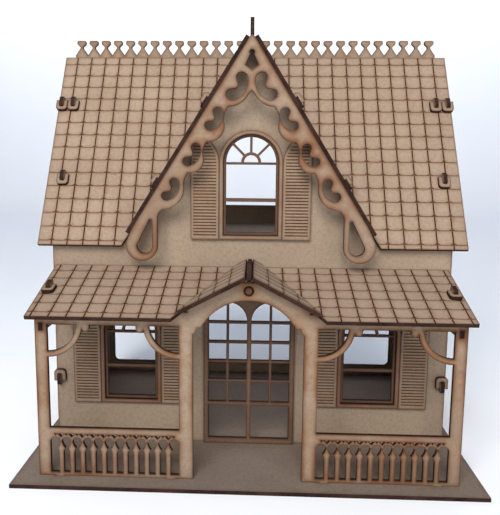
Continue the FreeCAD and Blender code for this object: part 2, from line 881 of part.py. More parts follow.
def door_panel():
    half = dim("door_half")
    bar = 2.2
    glass_out = half - 4.2
    mullion = 1.9
    mid = (glass_out + mullion) / 2.0
    radius = (glass_out - mullion) / 2.0
    spring = dim("door_spring")
    loops = [box(-half, T + GAP, half, dim("door_top"))]
    rows = [(41.2, 59.0), (61.2, 76.0), (78.2, 92.8), (95.0, spring - bar)]
    panes = [box(mullion, 8.2, glass_out, 37.8)]
    for low, high in rows:
        panes.append(box(mullion, low, mid - bar / 2, high))
        panes.append(box(mid + bar / 2, low, glass_out, high))
    hub = (mid, spring)
    edge = math.degrees(math.acos(bar / 2 / radius))
    panes.append(loop(
        (mid + bar / 2, spring),
        (glass_out, spring),
        (polar(hub, radius, edge / 2), polar(hub, radius, edge)),
    ))
    panes.append(loop(
        (mullion, spring),
        (mid - bar / 2, spring),
        polar(hub, radius, 180 - edge),
        (polar(hub, radius, 180 - edge / 2), (mullion, spring)),
    ))
    for edges in panes:
        loops.append(edges)
        loops.append(mirrored(edges))
    upright("door_panel", loops, -T)


# ------------------------------------------------------------------ porch

BALUSTERS = 11


def railing_holes(x_from, x_to):
    """The pierced openings between balusters and the zigzag row under the handrail."""
    pitch = (x_to - x_from) / (BALUSTERS + 1)
    low, shoulder, neck_z, bulb_z, crown = 6.0, 22.0, 25.6, 31.0, 34.4
    slot = pitch / 2.0 - 1.85
    bulb = pitch / 2.0 - 0.65
    neck = 1.0
    holes = []
    for number in range(BALUSTERS + 1):
        x = x_from + pitch * (number + 0.5)
        right_end = x + pitch / 2.0
        left_end = x - pitch / 2.0
        if number < BALUSTERS:
            right_end = x + bulb
            steps = [(x + slot, low), (x + slot, shoulder)]
            steps += [((x + slot - 0.5, shoulder + 1.9), (x + neck, neck_z))]
            steps += [((x + bulb - 0.7, neck_z + 3.0), (right_end, bulb_z))]
        else:
            steps = [(right_end, low), (right_end, bulb_z)]
        if number > 0:
            left_end = x - bulb
        steps += [((x, crown), (left_end, bulb_z))]
        if number > 0:
            steps += [((x - bulb + 0.7, neck_z + 3.0), (x - neck, neck_z))]
            steps += [((x - slot + 0.5, shoulder + 1.9), (x - slot, shoulder))]
            left_end = x - slot
        holes.append(loop((left_end, low), *steps))
        holes.append(tooth(x, 0.9, 37.4, 36.1))
        if number < BALUSTERS:
            holes.append(tooth(x + pitch / 2.0, 2.4, 37.4, 34.6))
    return holes


def tooth(x, half, top, tip):
    """A small triangular hole that points down."""
    return loop((x - half, top), (x, tip), (x + half, top))


def bracket(corner_x, side):
    """A curved bracket with a scroll end, in the corner of a post and the beam."""
    corner_z = dim("beam_low") + 1.4
    corner = (corner_x, corner_z)
    outer = 26.8
    inner = 22.4
    knob = (26.8 + 2.6, -3.4)
    knob_r = 3.0
    edges = run(
        (-1.0, -inner),
        (0.0, -inner),
        (polar((0, 0), inner, -45.0), (inner, -1.0)),
        (inner, 0.5),
        (knob[0] + knob_r, 0.5),
        (knob[0] + knob_r, knob[1]),
        (polar(knob, knob_r, -90.0), polar(knob, knob_r, 150.0)),
        (polar((0, 0), outer, -47.0), (0.0, -outer)),
        (-1.0, -outer),
        (-1.0, -inner),
    )
    if side < 0:
        edges = mirrored(edges)
    return moved(edges, corner[0], corner[1])


def porch_front():
    face = dim("porch_face_half")
    post_in = face - dim("post_width")
    beam_low = dim("beam_low")
    beam_top = dim("beam_top")
    inner = dim("portal_inner")
    outer = dim("portal_outer")
    step_x = valley_half(PORCH, PORTAL, -dim("porch_out") + T) + VALLEY_MARGIN - 0.3
    flat = 158.4
    flat_x = half_width_under(PORTAL, flat)
    arch_x = 33.0
    arch_z = 127.6
    rise = 17.4
    radius = (arch_x ** 2 + rise ** 2) / (2 * rise)
    hub = (0.0, arch_z + rise - radius)
    end_angle = math.degrees(math.acos(arch_x / radius))
    tabs = [x for x in PORCH_TABS if x > 0]
    right = run(
        (0.0, arch_z + rise),
        (polar(hub, radius, (90 + end_angle) / 2), (arch_x, arch_z)),
        ((34.6, 125.4), (35.4, 123.6)),
        (38.4, 123.6),
        ((39.0, 121.6), (40.2, 119.4)),
        (inner, 118.6),
        (inner, T),
    )
    right += chain([(inner, T)] + tabbed_foot(inner, face, tabs, PORCH_TAB)[1:])
    right += run(
        (face, T),
        (face, beam_top),
        (step_x, beam_top),
        (step_x, PORTAL.under(-step_x) - UNDER_GAP),
        (flat_x, flat),
        (0.0, flat),
    )
    holes = [box(outer, dim("rail_high"), post_in, beam_low)]
    holes += railing_holes(outer, post_in)
    tenon = dim("porch_side_x")
    holes.append(box(tenon - SLOT_HALF, POST_TENON_LOW - GAP, tenon + SLOT_HALF, POST_TENON_HIGH + GAP))
    loops = [right + mirrored(right)]
    for edges in holes:
        loops.append(edges)
        loops.append(mirrored(edges))
    body = upright("porch_front", loops, -dim("porch_out"))
    arms = []
    for corner, side in ((outer, 1), (post_in, -1), (-outer, -1), (-post_in, 1)):
        arms.append(bracket(corner, side))
    for number, edges in enumerate(arms):
        sketch = sketch_on(body, "XZ_Plane", [edges], "bracket_outline_%d" % number)
        pad = body.newObject("PartDesign::Pad", "bracket_pad_%d" % number)
        pad.Profile = sketch
        pad.setExpression("Length", "Sizes.sheet_thk")
        pad.Reversed = True
    groove = [circle(0.0, 152.2, 4.0)[0:1], circle(0.0, 152.2, 2.4)[0:1]]
    cut_by(body, "XZ_Plane", groove, "rosette_groove", 1.0, False)


def porch_side(name, side):
    front = -dim("porch_out") + T + GAP
    back = -GAP
    root = -T - UNDER_GAP
    points = [(front, POST_TENON_LOW), (-dim("porch_out") + 0.2, POST_TENON_LOW)]
    points += [(-dim("porch_out") + 0.2, POST_TENON_HIGH), (front, POST_TENON_HIGH)]
    points.append((front, PORCH.under(front) - UNDER_GAP))
    points += [PORCH.point(a, h) for a, h in hook(PORCH_HOOK, root)]
    points.append((back, PORCH.under(back) - UNDER_GAP))
    points += [(back, PORCH_TENON_HIGH), (T, PORCH_TENON_HIGH), (T, PORCH_TENON_LOW), (back, PORCH_TENON_LOW)]
    points += [(back, 118.0), (front, 118.0)]
    crosswise(name, [chain(points) + [(points[-1], points[0])]], side * dim("porch_side_x"))


def porch_roof():
    slots = [(dim("porch_side_x"), PORCH_HOOK)]
    roof_half("porch_roof_left", -1, PORCH, dim("porch_half"), PORTAL, slots)
    roof_half("porch_roof_right", 1, PORCH, dim("porch_half"), PORTAL, slots)


def portal_roof(name, side):
    front = -dim("portal_out")
    tangent = PORCH.sin / PORCH.cos
    wall = -0.3

    def rear(along):
        height = PORTAL.point(along, -T)[1]
        return PORCH.foot[0] + (height - PORCH.foot[1]) / tangent - 0.4

    reach = (wall - rear(0.0)) / (rear(1.0) - rear(0.0))
    length = PORTAL.length
    outline = loop((front, 0.0), (rear(0.0), 0.0), (wall, reach), (wall, length), (front, length))
    lean_board(name, outline, [], PORTAL, side)


# ------------------------------------------------------------------ assembly

def clips():
    for label, side in (("left", -1), ("right", 1)):
        low, high = ROOF_HOOKS
        x = side * SIDE_MID
        add_clip("roof_clip_%s_lower" % label, low, slope_placement(MAIN, x, side, "front"))
        add_clip("roof_clip_%s_upper" % label, high, slope_placement(MAIN, x, side, "front"))
        outer = side * RAFTER_X
        add_clip("rafter_clip_%s" % label, high, slope_placement(MAIN, outer, side, "front"))
        x = side * dim("porch_side_x")
        add_clip("porch_clip_%s" % label, PORCH_HOOK, slope_placement(PORCH, x, side, "front"))
        low, high = GABLE_HOOKS
        middle = T / 2.0
        add_clip("gable_clip_%s_lower" % label, low, slope_placement(GABLE, middle, side, "side"))
        add_clip("gable_clip_%s_upper" % label, high, slope_placement(GABLE, middle, side, "side"))
        for place, face, out in (("front", 0.0, -1), ("rear", DEPTH, 1)):
            turn = FreeCAD.Rotation(FreeCAD.Vector(1, 0, 0), -90.0 * out)
            if out < 0:
                turn = turn.multiply(FreeCAD.Rotation(FreeCAD.Vector(0, 0, 1), 180.0))
            spot = FreeCAD.Vector(side * SIDE_MID, WALL_Y + face + out * CLIP_FREE, WALL_HOOK_TOP)
            add_clip("%s_clip_%s" % (place, label), 0.0, FreeCAD.Placement(spot, turn))


base_plate()
front_wall()
side_wall("left_wall", -1)
side_wall("right_wall", 1)
rear_frame()
upper_floor()
main_roof()
rafter("left_rafter", -1)
rafter("right_rafter", 1)
ridge_cresting()
gable_roof("gable_roof_left", -1)
gable_roof("gable_roof_right", 1)
finial("gable_finial", -dim("gable_out"), -dim("gable_out") + T + GAP, 344.7, 336.2, 343.6, 357.0, 85.0)
gable_bargeboard()
for window_name, (window_x, window_foot) in WINDOWS.items():
    window(window_name, window_x, window_foot)
shutters()
door_panel()
porch_front()
porch_side("porch_side_left", -1)
porch_side("porch_side_right", 1)
porch_roof()
portal_roof("portal_roof_left", -1)
portal_roof("portal_roof_right", 1)
finial("portal_finial", -76.0, -59.8, 163.1, 158.6, 165.4, 175.6, -0.3)
clips()

DOC.recompute()

for item in DOC.Objects:
    if "Invalid" in item.State or "Error" in item.State:
        raise RuntimeError("%s failed to recompute" % item.Label)
for body in MADE:
    if body.Shape.isNull() or not body.Shape.isValid():
        raise RuntimeError("%s has no valid shape" % body.Label)
    if len(body.Shape.Solids) != 1:
        raise RuntimeError("%s has %d solids" % (body.Label, len(body.Shape.Solids)))

os.makedirs("parts", exist_ok=True)
for body in MADE:
    body.Shape.exportStep("parts/%s.step" % body.Label)
print("wrote", len(MADE), "parts")
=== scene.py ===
"""Looks of the slot-together cottage dollhouse.

Every board is rebuilt around its CAD outline: a finely meshed face that knows how far it is from
the nearest laser cut, scorched edges, and engraved lines cut into the surface.
"""

import json
import math

import bpy
import numpy as np
from mathutils import Matrix, Vector
from mathutils.geometry import delaunay_2d_cdt
from mathutils.kdtree import KDTree


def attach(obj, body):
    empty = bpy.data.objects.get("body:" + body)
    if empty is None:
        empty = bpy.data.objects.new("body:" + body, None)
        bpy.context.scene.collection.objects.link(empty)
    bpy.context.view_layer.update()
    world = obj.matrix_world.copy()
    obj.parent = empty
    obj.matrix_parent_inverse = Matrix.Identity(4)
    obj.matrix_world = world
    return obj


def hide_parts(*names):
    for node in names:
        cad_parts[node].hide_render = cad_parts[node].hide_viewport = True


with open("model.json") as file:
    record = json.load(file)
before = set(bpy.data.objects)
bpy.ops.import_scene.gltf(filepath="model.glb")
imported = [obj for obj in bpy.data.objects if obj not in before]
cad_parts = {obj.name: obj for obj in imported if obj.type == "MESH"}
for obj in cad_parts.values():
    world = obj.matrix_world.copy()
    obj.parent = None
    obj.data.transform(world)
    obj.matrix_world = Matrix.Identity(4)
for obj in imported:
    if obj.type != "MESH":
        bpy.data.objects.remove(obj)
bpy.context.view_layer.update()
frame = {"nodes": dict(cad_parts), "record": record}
NODES = frame["nodes"]
RECORD = frame["record"]
BODY_OF = {n: b for b, names in RECORD["behaviour"]["bodies"].items() for n in names}
SLOT_OF = {entry["node"]: entry["material_slot"] for entry in RECORD["subparts"]}

MM = 0.001
RNG = np.random.default_rng(7)


# ------------------------------------------------------------------ materials

class Shader:
    """A small helper around one material's node tree."""

    def __init__(self, name):
        self.material = bpy.data.materials.new(name)
        self.material.use_nodes = True
        self.tree = self.material.node_tree
        self.bsdf = self.tree.nodes["Principled BSDF"]

    def node(self, kind, **values):
        made = self.tree.nodes.new(kind)
        for key, value in values.items():
            setattr(made, key, value)
        return made

    def link(self, source, target):
        self.tree.links.new(source, target)

    def noise(self, scale, detail, rough):
        place = self.node("ShaderNodeTexCoord")
        made = self.node("ShaderNodeTexNoise")
        made.inputs["Scale"].default_value = scale
        made.inputs["Detail"].default_value = detail
        made.inputs["Roughness"].default_value = rough
        self.link(place.outputs["Object"], made.inputs["Vector"])
        return made.outputs["Fac"]

    def ramp(self, value, stops):
        made = self.node("ShaderNodeValToRGB")
        points = made.color_ramp.elements
        while len(points) < len(stops):
            points.new(0.5)
        for point, (place, tone) in zip(points, stops):
            point.position = place
            point.color = (*tone, 1.0)
        self.link(value, made.inputs["Fac"])
        return made.outputs["Color"]

    def math(self, operation, first, second=None):
        """A math node; its inputs may be numbers or sockets."""
        made = self.node("ShaderNodeMath", operation=operation)
        for socket, value in zip(made.inputs, (first, second)):
            if value is None:
                continue
            if isinstance(value, (int, float)):
                socket.default_value = value
            else:
                self.link(value, socket)
        return made.outputs[0]

    def span(self, value, low, high, to_low, to_high):
        made = self.node("ShaderNodeMapRange")
        ends = {"From Min": low, "From Max": high, "To Min": to_low, "To Max": to_high}
        for name, number in ends.items():
            made.inputs[name].default_value = number
        self.link(value, made.inputs["Value"])
        return made.outputs["Result"]

    def blend(self, factor, first, second, mode="MIX"):
        """A colour mix; its inputs may be numbers, colours or sockets."""
        made = self.node("ShaderNodeMix", data_type="RGBA", blend_type=mode)
        pairs = ((made.inputs["Factor"], factor), (made.inputs[6], first), (made.inputs[7], second))
        for socket, value in pairs:
            if isinstance(value, (int, float)):
                socket.default_value = value
            elif isinstance(value, tuple):
                socket.default_value = (*value, 1.0)
            else:
                self.link(value, socket)
        return made.outputs[2]

    def attribute(self, name):
        made = self.node("ShaderNodeAttribute", attribute_name=name)
        return made.outputs["Fac"]

    def bump(self, height, depth, strength):
        made = self.node("ShaderNodeBump")
        made.inputs["Strength"].default_value = strength
        made.inputs["Distance"].default_value = depth
        self.link(height, made.inputs["Height"])
        self.link(made.outputs["Normal"], self.bsdf.inputs["Normal"])

    def colour(self, value):
        self.link(value, self.bsdf.inputs["Base Color"])

    def rough(self, value):
        if isinstance(value, (int, float)):
            self.bsdf.inputs["Roughness"].default_value = value
        else:
            self.link(value, self.bsdf.inputs["Roughness"])


# Tones that darken or lighten the raw board, as (place in the noise, multiplier).
FLECK_TONES = [(0.36, (0.92, 0.90, 0.88)), (0.5, (1.0, 1.0, 1.0)), (0.66, (1.04, 1.03, 1.02))]
CLOUD_TONES = [(0.3, (0.90, 0.88, 0.86)), (0.7, (1.04, 1.03, 1.02))]
CHAR = (0.050, 0.024, 0.015)
CHAR_STRENGTH = 0.9
MOST_TOAST = 0.95


def board_face(
    name, light, dark, toast, halo, reach, soot, rim_reach, patch=(0.45, 1.25), etch=(0.35, 0.45)
):
    """Raw fibre board: felted fibres, soft cloudy mottling and a toasted halo beside the cuts.

    halo is how strong the toasting is, reach how far it goes in mm, soot how much smoke lies about,
    rim_reach the width of the char line in mm, patch how unevenly the toasting comes and goes, and
    etch the strength and reach in mm of the toasting beside engraved lines.
    """
    s = Shader(name)
    fibres = s.noise(900.0, 4.0, 0.7)
    flecks = s.noise(330.0, 2.0, 0.6)
    clouds = s.noise(22.0, 3.0, 0.5)
    base = s.ramp(s.span(fibres, 0.3, 0.7, 0.0, 1.0), [(0.0, dark), (1.0, light)])
    base = s.blend(1.0, base, s.ramp(flecks, FLECK_TONES), "MULTIPLY")
    base = s.blend(1.0, base, s.ramp(clouds, CLOUD_TONES), "MULTIPLY")
    # The smoke that the laser leaves: wide faint stains that follow no edge.
    smoke = s.noise(9.0, 4.0, 0.62)
    smoke_amount = s.span(smoke, 0.48, 0.74, 0.0, soot)
    base = s.blend(smoke_amount, base, toast)
    # The toasted halo fades away from each cut, unevenly.
    distance = s.attribute("cut_mm")
    uneven = s.span(s.noise(70.0, 3.0, 0.6), 0.3, 0.7, 0.55, 1.45)
    faded = s.math("MULTIPLY", s.math("DIVIDE", distance, -reach), uneven)
    near = s.math("EXPONENT", faded)
    patchy = s.span(s.noise(21.0, 3.0, 0.6), 0.36, 0.64, *patch)
    amount = s.math("MULTIPLY", s.math("MULTIPLY", near, patchy), halo)
    amount = s.math("MINIMUM", amount, MOST_TOAST)
    base = s.blend(amount, base, toast)
    # The last part of a millimetre beside a cut is charred.
    rim = s.math("EXPONENT", s.math("DIVIDE", distance, -rim_reach))
    base = s.blend(s.math("MULTIPLY", rim, CHAR_STRENGTH), base, CHAR)
    etched = s.math("EXPONENT", s.math("DIVIDE", s.attribute("etch_mm"), -etch[1]))
    base = s.blend(s.math("MULTIPLY", etched, etch[0]), base, toast)
    s.colour(base)
    s.rough(s.span(fibres, 0.3, 0.7, 0.72, 0.88))
    s.bsdf.inputs["Specular IOR Level"].default_value = 0.12
    s.bump(s.math("ADD", fibres, s.math("MULTIPLY", flecks, 0.6)), 0.00012, 0.55)
    return s.material


def scorched_edge(name, dark, light):
    """A laser-cut edge: near black, with fine mottling and browner patches."""
    s = Shader(name)
    streaks = s.noise(520.0, 3.0, 0.7)
    patches = s.noise(60.0, 2.0, 0.5)
    mixed = s.math("MULTIPLY", s.math("ADD", streaks, patches), 0.5)
    tone = s.ramp(mixed, [(0.35, dark), (0.66, light)])
    s.colour(tone)
    s.rough(s.span(streaks, 0.3, 0.7, 0.78, 0.92))
    s.bsdf.inputs["Specular IOR Level"].default_value = 0.08
    s.bump(streaks, 0.00015, 0.6)
    return s.material


def engraved(name, dark, light):
    """The bottom of an engraved line: burnt brown and rough."""
    s = Shader(name)
    burn = s.noise(700.0, 3.0, 0.7)
    wander = s.noise(45.0, 3.0, 0.6)
    mixed = s.math("MULTIPLY", s.math("ADD", burn, wander), 0.5)
    tone = s.ramp(mixed, [(0.38, dark), (0.62, light)])
    s.colour(tone)
    s.rough(0.9)
    s.bsdf.inputs["Specular IOR Level"].default_value = 0.05
    s.bump(burn, 0.0001, 0.6)
    return s.material


# Board colours: lighter and darker fibres of each kind of board, then the three strengths of burn. The
# floor, casing and bar colours are darker partly as painted shade.
TAN_LIGHT = (0.350, 0.272, 0.198)
TAN_DARK = (0.268, 0.203, 0.145)
ROOF_LIGHT = (0.362, 0.276, 0.205)
ROOF_DARK = (0.285, 0.214, 0.155)
# Floor colours: the board's own darker tone plus painted shade of the porch roof over the base plate.
FLOOR_LIGHT_WITH_PAINTED_SHADE = (0.235, 0.186, 0.150)
FLOOR_DARK_WITH_PAINTED_SHADE = (0.170, 0.131, 0.103)
# Casing colours: the board's toasted tone darkened further as painted porch shade on the lower window
# trims.
CASING_LIGHT_WITH_PAINTED_SHADE = (0.285, 0.190, 0.130)
CASING_DARK_WITH_PAINTED_SHADE = (0.215, 0.138, 0.092)
# Bar colours: darker partly as painted recess shade on the sash and door bars; the strong halo adds
# their real toasting.
BAR_LIGHT_WITH_PAINTED_SHADE = (0.215, 0.138, 0.092)
BAR_DARK_WITH_PAINTED_SHADE = (0.145, 0.088, 0.058)
TOAST = (0.165, 0.068, 0.030)
AMBER = (0.175, 0.078, 0.036)
BURNT = (0.075, 0.034, 0.019)

FACES = {
    "wall_board": board_face("wall_board_face", TAN_LIGHT, TAN_DARK, TOAST, 0.55, 1.8, 0.10, 0.5),
    "roof_board": board_face(
        "roof_board_face", ROOF_LIGHT, ROOF_DARK, AMBER, 0.50, 1.6, 0.08, 0.5, etch=(0.60, 1.0)
    ),
    # The floor face carries painted porch shade in its darker colours.
    "floor_board": board_face("floor_board_face_painted_shade", FLOOR_LIGHT_WITH_PAINTED_SHADE, FLOOR_DARK_WITH_PAINTED_SHADE, BURNT, 0.5, 1.6, 0.10, 0.35),
    "trim_board": board_face("trim_board_face", TAN_LIGHT, TAN_DARK, TOAST, 0.75, 2.2, 0.25, 0.6),
    "clip_board": board_face("clip_board_face", TAN_LIGHT, TAN_DARK, TOAST, 0.60, 1.6, 0.20, 0.6),
}
GINGERBREAD = board_face(
    "pierced_trim_face", TAN_LIGHT, TAN_DARK, AMBER, 1.0, 4.2, 0.50, 0.9, patch=(0.30, 1.5)
)
FRETWORK = board_face(
    "porch_fret_face", TAN_LIGHT, TAN_DARK, AMBER, 0.95, 3.0, 0.40, 0.8, (0.35, 1.5), (0.95, 3.2)
)
# Sash and door bars: painted recess shade in the darker colours, with real toasting beside the cuts.
GLAZING = board_face("glazing_bar_painted_shade_face", BAR_LIGHT_WITH_PAINTED_SHADE, BAR_DARK_WITH_PAINTED_SHADE, BURNT, 0.80, 1.8, 0.2, 0.65)
# Lower window trims: painted porch shade in the darker colours, with real toasting beside the cuts.
CASING = board_face("window_casing_painted_shade_face", CASING_LIGHT_WITH_PAINTED_SHADE, CASING_DARK_WITH_PAINTED_SHADE, TOAST, 0.85, 2.4, 0.3, 0.7)
LOUVRED = board_face(
    "shutter_face", TAN_LIGHT, TAN_DARK, AMBER, 0.60, 1.8, 0.25, 0.6, etch=(0.35, 0.6)
)
EDGE = scorched_edge("scorched_cut_edge", (0.012, 0.006, 0.005), (0.050, 0.024, 0.017))
GROOVE_DARK = engraved("engraved_line_deep", (0.014, 0.007, 0.004), (0.055, 0.024, 0.013))
GROOVE_SOFT = engraved("engraved_line_light", (0.060, 0.031, 0.019), (0.125, 0.072, 0.044))
GROOVE_LOUVRE = engraved("engraved_louvre_line", (0.055, 0.028, 0.016), (0.120, 0.066, 0.038))


# ------------------------------------------------------------------ board geometry

# Normals that round to the same steps of 1/50 belong to the same direction.
NORMAL_STEPS = 50
# Heights this close in mm lie in one plane.
FLAT = 0.01
# A pocket's floor is at least this far in mm from both faces.
POCKET_MARGIN = 0.05


def direction_key(normal):
    return tuple(np.round(normal * NORMAL_STEPS).astype(int))


class Board:
    """The flat sheet inside a CAD node: its plane, its outline and its pockets, in mm."""

    def __init__(self, node, facing):
        mesh = NODES[node].data
        points = np.array([v.co for v in mesh.vertices], float) / MM
        normals = np.array([p.normal for p in mesh.polygons], float)
        areas = np.array([p.area for p in mesh.polygons], float)
        keys = {}
        for normal, area in zip(normals, areas):
            key = direction_key(normal)
            keys[key] = keys.get(key, 0.0) + area
        best = max(keys, key=keys.get)
        chosen = [i for i, normal in enumerate(normals) if direction_key(normal) == best]
        n = (normals[chosen] * areas[chosen][:, None]).sum(0)
        n /= np.linalg.norm(n)
        if n @ np.array(facing, float) < 0:
            n = -n
        if abs(n[2]) > 0.99:
            u = np.array([1.0, 0.0, 0.0])
        else:
            u = np.cross([0.0, 0.0, 1.0], n)
            u /= np.linalg.norm(u)
        v = np.cross(n, u)
        self.n, self.u, self.v = n, u, v
        height = points @ n
        self.low, self.high = height.min(), height.max()
        flat = np.stack([points @ u, points @ v], 1)
        self.outline = self.plane_edges(mesh, flat, height, self.low)
        self.pockets = self.pocket_loops(mesh, flat, height)

    def plane_edges(self, mesh, flat, height, level):
        """Boundary edges of the mesh faces that lie in one plane, as point pairs."""
        seen = {}
        for polygon in mesh.polygons:
            ring = list(polygon.vertices)
            if max(abs(height[i] - level) for i in ring) > FLAT:
                continue
            corners = [tuple(np.round(flat[i], 3)) for i in ring]
            for a, b in zip(corners, corners[1:] + corners[:1]):
                key = (min(a, b), max(a, b))
                seen[key] = seen.get(key, 0) + 1
        return [key for key, count in seen.items() if count == 1 and key[0] != key[1]]

    def pocket_loops(self, mesh, flat, height):
        """Closed loops of the pocket floors between the two faces."""
        levels = {}
        for polygon in mesh.polygons:
            tops = [height[i] for i in polygon.vertices]
            middle = sum(tops) / len(tops)
            flat_face = max(tops) - min(tops) < FLAT
            if flat_face and self.low + POCKET_MARGIN < middle < self.high - POCKET_MARGIN:
                levels[round(middle, 2)] = middle
        loops = []
        for level in levels.values():
            edges = self.plane_edges(mesh, flat, height, level)
            loops += [(self.high - level, ring) for ring in chain_loops(edges)]
        return loops

    def place(self, a, b, height):
        return (a * self.u + b * self.v + height * self.n) * MM


def chain_loops(edges):
    """Joins unordered edges into closed rings of points."""
    links = {}
    for a, b in edges:
        links.setdefault(a, []).append(b)
        links.setdefault(b, []).append(a)
    rings = []
    while links:
        start = next(iter(links))
        ring = [start]
        here = start
        while True:
            options = links.get(here)
            if not options:
                links.pop(here, None)
                break
            there = options.pop()
            links[there].remove(here)
            if not options:
                links.pop(here, None)
            if there == start:
                if not links.get(start):
                    links.pop(start, None)
                break
            ring.append(there)
            here = there
        if len(ring) > 2:
            rings.append(ring)
    return rings


# Spacing in mm of the sample points along the edges.
SAMPLE_STEP = 0.3
# Distance in mm given to points that no engraved line has toasted.
UNTOUCHED = 50.0
# Loose points stay this far in mm from an engraved line.
GROOVE_CLEARANCE = 0.25


def edge_tree(edges):
    """A search tree of points sampled closely along the edges."""
    samples = []
    for a, b in edges:
        count = max(1, int(math.dist(a, b) / SAMPLE_STEP))
        run_x, run_y = b[0] - a[0], b[1] - a[1]
        samples += [(a[0] + run_x * k / count, a[1] + run_y * k / count) for k in range(count + 1)]
    tree = KDTree(len(samples))
    for k, (x, y) in enumerate(samples):
        tree.insert((x, y, 0.0), k)
    tree.balance()
    return tree


def distances(points, tree):
    """Distance from each point to the nearest sampled edge, zero on the edge itself."""
    found = np.array([tree.find((x, y, 0.0))[2] for x, y in points], float)
    return np.where(found < SAMPLE_STEP * 0.51, np.maximum(found - SAMPLE_STEP * 0.5, 0.0), found)


BATCH = 1000
TINY = 1e-12


def inside_edges(points, edges):
    """Even-odd test of points against unordered closed edges."""
    a = np.array([e[0] for e in edges], float)
    b = np.array([e[1] for e in edges], float)
    result = np.zeros(len(points), bool)
    for first in range(0, len(points), BATCH):
        part = points[first:first + BATCH]
        x, y = part[:, 0:1], part[:, 1:2]
        crosses = (a[None, :, 1] > y) != (b[None, :, 1] > y)
        rise = b[:, 1] - a[:, 1]
        rise = np.where(np.abs(rise) < TINY, TINY, rise)
        reach = a[None, :, 0] + (y - a[None, :, 1]) * (b - a)[None, :, 0] / rise[None]
        result[first:first + BATCH] = (crosses & (x < reach)).sum(1) % 2 == 1
    return result


# Bands of points beside the cuts, as (spacing, nearest, farthest) from a cut in mm.
FINE_RINGS = ((2.8, 2.5, 7.0), (1.2, 0.55, 2.7))
# The widely spaced points begin this far in mm from a cut.
COARSE_FROM = 6.5
ROW_PACKING = 0.87
SCATTER = 0.12


def fill_points(edges, tree, coarse):
    """Points inside the outline: close together beside the cuts and sparse elsewhere."""
    corners = np.array([p for e in edges for p in e], float)
    low, high = corners.min(0), corners.max(0)
    kept = []
    for spacing, near, far in ((coarse, COARSE_FROM, math.inf), *FINE_RINGS):
        xs = np.arange(low[0] + spacing * 0.4, high[0], spacing)
        ys = np.arange(low[1] + spacing * 0.4, high[1], spacing * ROW_PACKING)
        half = spacing * 0.5
        grid = np.array([(x + half * (k % 2), y) for k, y in enumerate(ys) for x in xs])
        if not len(grid):
            continue
        grid += RNG.uniform(-SCATTER, SCATTER, grid.shape) * spacing
        gap = distances(grid, tree)
        grid = grid[(gap > near) & (gap < far)]
        if len(grid):
            kept.append(grid[inside_edges(grid, edges)])
    return np.concatenate(kept) if kept else np.zeros((0, 2))


def counter_clockwise(ring):
    area = sum(a[0] * b[1] - b[0] * a[1] for a, b in zip(ring, ring[1:] + ring[:1]))
    return ring if area > 0 else ring[::-1]


# Material slots of every board.
FACE_SLOT, EDGE_SLOT, GROOVE_SLOT, SOFT_SLOT = range(4)


